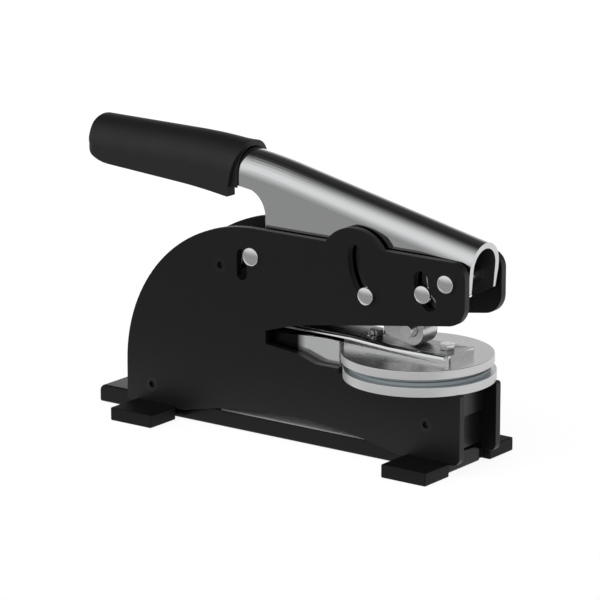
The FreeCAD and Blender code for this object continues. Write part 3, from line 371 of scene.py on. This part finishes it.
# Headed pins: turned bright steel pins with a low dome on the head at both ends. They carry
# the lever, the ram and the two ends of the return spring.
def headed_pin(node, shank, head, proud, crown=0.0011):
    """Half a profile from the tip of a head to the middle, spun round the pin's axis and mirrored."""
    low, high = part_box(node)
    middle = (low + high) / 2
    seat = high.y - proud
    ball = (head * head + crown * crown) / (2 * crown)
    bm = bmesh.new()
    tip = bm.verts.new((0.0, high.y, 0.0))
    bmesh.ops.spin(bm, geom=[tip], cent=(0.0, high.y - ball, 0.0), axis=(1.0, 0.0, 0.0),
                   angle=math.asin(head / ball), steps=6, use_merge=False)
    last = max(bm.verts, key=lambda v: v.co.z)
    for across, out in ((seat, head), (seat, shank), (0.0, shank)):
        corner = bm.verts.new((0.0, across, out))
        bm.edges.new((last, corner))
        last = corner
    bmesh.ops.spin(bm, geom=bm.verts[:] + bm.edges[:], cent=(0.0, 0.0, 0.0), axis=(0.0, 1.0, 0.0),
                   angle=math.tau, steps=48, use_merge=True)
    bmesh.ops.remove_doubles(bm, verts=bm.verts, dist=1e-6)
    rims = [e for e in bm.edges if all(abs(math.hypot(v.co.x, v.co.z) - head) < 1e-6 and v.co.y > seat + 1e-5
                                       for v in e.verts)]
    bmesh.ops.bevel(bm, geom=rims, offset=0.0004, segments=3, profile=0.5, affect="EDGES", material=-1)
    bmesh.ops.mirror(bm, geom=bm.verts[:] + bm.edges[:] + bm.faces[:], axis="Y", merge_dist=1e-6)
    bmesh.ops.recalc_face_normals(bm, faces=bm.faces)
    bmesh.ops.translate(bm, vec=(middle.x, 0.0, middle.z), verts=bm.verts)
    return shaped(node + "_made", frame["nodes"][node]["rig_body"], polished, bm, node)


polished, shader, spot = finish("polished_head", (0.62, 0.62, 0.63), 0.2, 1.0)
fine = grain(spot, 1300.0, 4.0)
(0.11 + 0.1 * fine).feed(shader, "Roughness")
relief(fine, 0.00001, 0.25).feed(shader, "Normal")
for node, shank, head, proud in (("pivot_pin", 0.003, 0.0046, 0.0026),
                                 ("crank_pin", 0.00275, 0.0046, 0.0026),
                                 ("return_pin", 0.0025, 0.0046, 0.0026),
                                 ("spring_rod", 0.0025, 0.0048, 0.0018)):
    headed_pin(node, shank, head, proud)


# Lever: a pressed steel channel with a half-round crown, bent in a long easy curve before
# the grip and chrome plated outside. Its open side is down, and its inside is coloured
# near black as painted shade, with a rough finish.
lean = math.tan(math.radians(12.4))
grip_lean = math.tan(math.radians(0.6))
front_x, front_z = 0.0384, 0.1025
bend_x = -0.104
bend_z = front_z + (front_x - bend_x) * lean
short_bend, long_bend = 0.0062, 0.033


def eased(bm):
    """Draws the lever's short bend out into a curve that starts well before the grip."""
    cut_across(bm, [-0.137 + 0.003 * k for k in range(23)])
    for vert in bm.verts:
        away = abs(vert.co.x - bend_x)
        long_sag = max(long_bend - away, 0.0) ** 2 / (4 * long_bend)
        short_sag = max(short_bend - away, 0.0) ** 2 / (4 * short_bend)
        vert.co.z -= (long_sag - short_sag) * (lean - grip_lean)


def channel_form(bm):
    """The eased channel, with the faces of its inside marked for the near-black painted shade."""
    under_grip, inner_half = -0.1, 0.0098
    eased(bm)
    bm.normal_update()
    for face in bm.faces:
        middle = face.calc_center_median()
        axis_z = front_z + (front_x - middle.x) * lean
        if middle.x <= bend_x:
            axis_z = bend_z + (bend_x - middle.x) * grip_lean
        rise = max(middle.z - axis_z, 0.0) if middle.x > under_grip else 0.0
        inwards = face.normal.y * middle.y + face.normal.z * rise < 0.0
        if math.hypot(middle.y, rise) < inner_half and inwards and face.normal.x < 0.9:
            face.material_index = 1


chrome, shader, spot = finish("lever_mirror_chrome", (0.58, 0.585, 0.59), 0.05, 1.0)
haze = grain(spot, 60.0, 3.0)
hairs = grain(spot, 700.0, 3.0, stretch=(0.04, 1.0, 1.0), turn=(0.0, 0.22, 0.0))
(0.03 + 0.04 * haze + 0.03 * hairs).feed(shader, "Roughness")
relief(haze, 0.00002, 0.2, relief(hairs, 0.000003, 0.3)).feed(shader, "Normal")
# The inside of the channel is coloured near black: painted shade in the recess under the crown.
shaded_inside, shader, spot = finish("lever_dull_inside", (0.035, 0.035, 0.036), 0.5, 0.5)
scale_marks = grain(spot, 260.0, 5.0)
(0.42 + 0.25 * scale_marks).feed(shader, "Roughness")
relief(scale_marks, 0.00005, 0.5).feed(shader, "Normal")
channel = dressed("handle_channel", chrome, 0.0003, reshape=channel_form)
channel.data.materials.append(shaded_inside)


# Grip: a moulded rubber sleeve pushed over the rear of the lever, matt black, faintly ribbed,
# with a crisp upper rear rim and a rounded heel. A thin lining stands out of its mouth.
grip_rear = -0.198
grip_half = 0.0156
skirt, skirt_fall = 0.0063, 0.064
old_rim, crest_rim, side_rim = 0.006, 0.0016, 0.006
old_heel, heel_high, heel_long = 0.0065, 0.0102, 0.015
kept_level, faded_out = 0.006, 0.03
slant_high, slant_long = 0.0051, 0.006
mouth_front, mouth_back = -0.1058, -0.125


def share(value):
    """The value held between 0 and 1."""
    return min(max(value, 0.0), 1.0)


def sleeve_form(bm):
    """Tightens the rear rim, rounds the heel and squares the mouth, then follows the lever's curve."""
    cut_across(bm, [-0.1965 + 0.002 * k for k in range(9)])
    end_z = bend_z + (bend_x - grip_rear) * grip_lean
    for vert in bm.verts:
        x, y, z = vert.co
        level = z - bend_z - (bend_x - x) * grip_lean
        back = (x - grip_rear) - (z - end_z) * grip_lean
        if back < faded_out:
            old_low = -skirt - skirt_fall * max(back - old_heel, 0.0)
            old_low += old_heel - math.sqrt(old_heel ** 2 - min(max(old_heel - back, 0.0), old_heel) ** 2)
            rim = crest_rim + (side_rim - crest_rim) * share(1 - level / 0.012)
            if back < old_rim:
                fall = 1 - math.cos(math.asin(share((old_rim - back) / old_rim)))
                wider = (grip_half - rim * fall) / (grip_half - old_rim * fall)
                new_back = rim * (back / old_rim)
                y *= wider
                level *= wider if level > 0.0 else 1.0
            else:
                new_back = rim + (back - old_rim) * (faded_out - rim) / (faded_out - old_rim)
            new_low = -skirt - skirt_fall * max(new_back - old_heel, 0.0)
            new_low += heel_high * (1 - math.sqrt(1 - share(1 - new_back / heel_long) ** 2))
            if level < kept_level:
                level = kept_level - (kept_level - level) * (kept_level - new_low) / (kept_level - old_low)
            x += new_back - back
        if x > mouth_back and level < -skirt:
            slant_x = mouth_front - (-skirt - max(level, -skirt - slant_high)) * slant_long / slant_high
            x = mouth_back + (x - mouth_back) * (mouth_front - mouth_back) / (slant_x - mouth_back)
        vert.co = (x, y, bend_z + (bend_x - x) * grip_lean + level)
    eased(bm)
    for vert in bm.verts:
        vert.co.z = min(vert.co.z, cad_high.z)


sleeve, shader, spot = finish("grip_matt_rubber", (0.0105, 0.0105, 0.011), 0.6, Specular_IOR_Level=0.42)
ribs = spot.node("ShaderNodeTexWave", {"bands_direction": "X"},
                 {"Vector": spot, "Scale": 75.0, "Distortion": 1.6, "Detail": 3.0}, "Fac")
skin = grain(spot, 1400.0, 4.0)
patches = grain(spot, 90.0, 3.0, stretch=(1.6, 0.4, 0.4))
(0.46 + 0.12 * skin + 0.1 * patches).feed(shader, "Roughness")
relief(ribs, 0.00002, 0.3, relief(skin, 0.00003, 0.5)).feed(shader, "Normal")
dressed("handle_grip", sleeve, 0.0012, 3, reshape=sleeve_form)
lining_rear, lining_long, lining_half, lining_drop = -0.109, 0.0075, 0.0134, 0.0067
lining = bmesh.new()
bmesh.ops.create_vert(lining, co=(lining_rear, -lining_half, bend_z))
bmesh.ops.spin(lining, geom=lining.verts[:], cent=(lining_rear, 0.0, bend_z), axis=(1.0, 0.0, 0.0),
               angle=-math.pi, steps=32, use_merge=False)
for end in (min(lining.verts, key=lambda v: v.co.y), max(lining.verts, key=lambda v: v.co.y)):
    foot = lining.verts.new(end.co - Vector((0.0, 0.0, lining_drop)))
    lining.edges.new((end, foot))
walls = bmesh.ops.extrude_edge_only(lining, edges=lining.edges[:])["geom"]
bmesh.ops.translate(lining, vec=(lining_long, 0.0, 0.0),
                    verts=[part for part in walls if isinstance(part, bmesh.types.BMVert)])
bmesh.ops.recalc_face_normals(lining, faces=lining.faces)
bmesh.ops.solidify(lining, geom=lining.faces[:], thickness=0.0007)
eased(lining)
shaped("grip_lining", frame["nodes"]["handle_grip"]["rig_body"], sleeve, lining)


# Return spring: a close wound steel wire spring with an eye bent at each end, one round the
# rod between the plates and one round the lever's moving pin.
wire_steel, shader, spot = finish("spring_wire", (0.45, 0.45, 0.46), 0.3, 1.0)
drawn = grain(spot, 900.0, 4.0)
(0.24 + 0.16 * drawn).feed(shader, "Roughness")
relief(drawn, 0.00001, 0.4).feed(shader, "Normal")
rod_low, rod_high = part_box("spring_rod")
pin_low, pin_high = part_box("return_pin")
rod_mid = (rod_low + rod_high) / 2
pin_mid = (pin_low + pin_high) / 2
span = pin_mid - rod_mid
wire, eye, coil, corner, reach = 0.0007, 0.0033, 0.0052, 0.0012, 0.006
run = span.length - 2 * (reach + corner)
turns = int(run / (2.06 * wire))
steps = 20 * turns
eye_turn = math.radians(300)
bm = bmesh.new()
ring = bmesh.ops.create_circle(bm, cap_ends=False, radius=wire, segments=8)["verts"]
bmesh.ops.translate(bm, vec=(eye, 0.0, 0.0), verts=ring)
bmesh.ops.rotate(bm, cent=(0.0, 0.0, 0.0), matrix=Matrix.Rotation(eye_turn, 3, "Y"), verts=ring)
wire_end = bm.verts[:] + bm.edges[:]
middle, still = (0.0, 0.0, 0.0), (0.0, 0.0, 0.0)
x_axis, y_axis, z_axis = (1.0, 0.0, 0.0), (0.0, 1.0, 0.0), (0.0, 0.0, 1.0)
for centre, axis, angle, step, count in (
        (middle, y_axis, -eye_turn, still, 24),
        (middle, y_axis, 0.0, ((coil - eye) / 3, 0.0, reach / 3), 3),
        ((coil, corner, reach), x_axis, -math.pi / 2, still, 4),
        (middle, z_axis, math.tau * turns, (0.0, 0.0, run / steps), steps),
        ((coil, corner, span.length - reach), x_axis, math.pi / 2, still, 4),
        (middle, y_axis, 0.0, ((eye - coil) / 3, -2 * corner / 3, reach / 3), 3),
        ((0.0, 0.0, span.length), y_axis, -eye_turn, still, 24)):
    wire_end = bmesh.ops.spin(bm, geom=wire_end, cent=centre, axis=axis, dvec=step, angle=angle,
                              steps=count, use_merge=False)["geom_last"]
bmesh.ops.holes_fill(bm, edges=[e for e in bm.edges if e.is_boundary])
bmesh.ops.recalc_face_normals(bm, faces=bm.faces)
along = span.normalized()
across = Vector(y_axis)
laid = Matrix((across.cross(along), across, along)).transposed()
bmesh.ops.rotate(bm, cent=middle, matrix=laid, verts=bm.verts)
bmesh.ops.translate(bm, vec=rod_mid, verts=bm.verts)
spring = shaped("return_spring_made", "spring", wire_steel, bm, "return_spring", sharp=60.0)
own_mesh(spring)


# Floor: a pale sheet of card that ends a little in front of the object. It shows white,
# and keeps the shadow.
card, shader, spot = finish("floor_white_card", (0.25, 0.25, 0.25), 0.9)
light_path = card.node_tree.nodes.new("ShaderNodeLightPath")
seen = Tone(card.node_tree, light_path.outputs["Is Camera Ray"])
for kind in ("Is Glossy Ray", "Is Transmission Ray"):
    seen = spot.sum("MAXIMUM", seen, Tone(card.node_tree, light_path.outputs[kind]))
glow = spot.node("ShaderNodeEmission", {}, {"Color": (1.0, 1.0, 1.0, 1.0), "Strength": 0.9 * seen})
together = spot.node("ShaderNodeAddShader", {}, {})
adder = together.socket.node
card.node_tree.links.new(shader.outputs[0], adder.inputs[0])
card.node_tree.links.new(glow.socket, adder.inputs[1])
card.node_tree.links.new(together.socket, card.node_tree.nodes["Material Output"].inputs["Surface"])
bm = bmesh.new()
bmesh.ops.create_grid(bm, x_segments=1, y_segments=1, size=1.0)
bmesh.ops.scale(bm, vec=(2.6, 1.6, 1.0), verts=bm.verts)
bmesh.ops.translate(bm, vec=(0.0, 1.525, -0.0002), verts=bm.verts)
floor_mesh = bpy.data.meshes.new("floor")
bm.to_mesh(floor_mesh)
bm.free()
floor_mesh.materials.append(card)
floor = bpy.data.objects.new("floor", floor_mesh)
bpy.context.scene.collection.objects.link(floor)


# Light: a studio with one wide soft light before and above the object, dark overhead, and
# a pale wall behind it. The camera sees white behind the object.
world = bpy.data.worlds.new("studio")
bpy.context.scene.world = world
world.use_nodes = True
tree = world.node_tree
backdrop = tree.nodes["Background"]
way = Tone(tree).node("ShaderNodeTexCoord", {}, {}, "Generated")
parts = way.node("ShaderNodeSeparateXYZ", {}, {"Vector": way}).socket.node
ahead = Tone(tree, parts.outputs["Y"]) * -1.0
above = Tone(tree, parts.outputs["Z"])
angle = way.sum("ARCTAN2", above, ahead)
part_of_turn = angle * (0.5 / math.pi) + 0.5
radiance = ((-180, 1.5), (-165, 1.3), (-150, 0.8), (-90, 0.4), (-18, 0.42), (-8, 0.4), (4, 0.56),
            (15, 0.85), (26, 1.06), (38, 1.13), (49, 1.04), (60, 0.85), (71, 0.53), (82, 0.25),
            (93, 0.06), (104, 0.028), (126, 0.055), (138, 0.075), (147, 0.22), (158, 0.62),
            (168, 1.1), (175, 1.4), (180, 1.5))
stops = [((degrees + 180) / 360, (value / 2, value / 2, value / 2, 1.0)) for degrees, value in radiance]
studio = way.node("ShaderNodeValToRGB", {"stops": stops}, {"Fac": part_of_turn})
level = way.node("ShaderNodeVectorMath", {"operation": "SCALE"}, {0: studio, "Scale": 2.0})
camera_ray = way.node("ShaderNodeLightPath", {}, {}, "Is Camera Ray")
shown = way.node("ShaderNodeMix", {"data_type": "RGBA"},
                 {"Factor": camera_ray, 6: level, 7: (1.0, 1.0, 1.0, 1.0)}, 2)
shown.feed(backdrop, "Color")


# Camera: a long lens to the right of the object and a little above it.
camera_data = bpy.data.cameras.new("camera")
camera_data.lens = 228.0
camera_data.sensor_width = 36.0
camera = bpy.data.objects.new("camera", camera_data)
right = Vector((0.8059, 0.5920, 0.0))
up = Vector((-0.1477, 0.2011, 0.9684))
back = Vector((0.5733, -0.7804, 0.2495))
turn = Matrix((right, up, back)).transposed().to_4x4()
camera.matrix_world = Matrix.Translation((1.0211, -1.4883, 0.5454)) @ turn
camera_data.clip_end = 20.0
bpy.context.scene.collection.objects.link(camera)
bpy.context.scene.camera = camera
bpy.context.scene.view_settings.view_transform = "Standard"
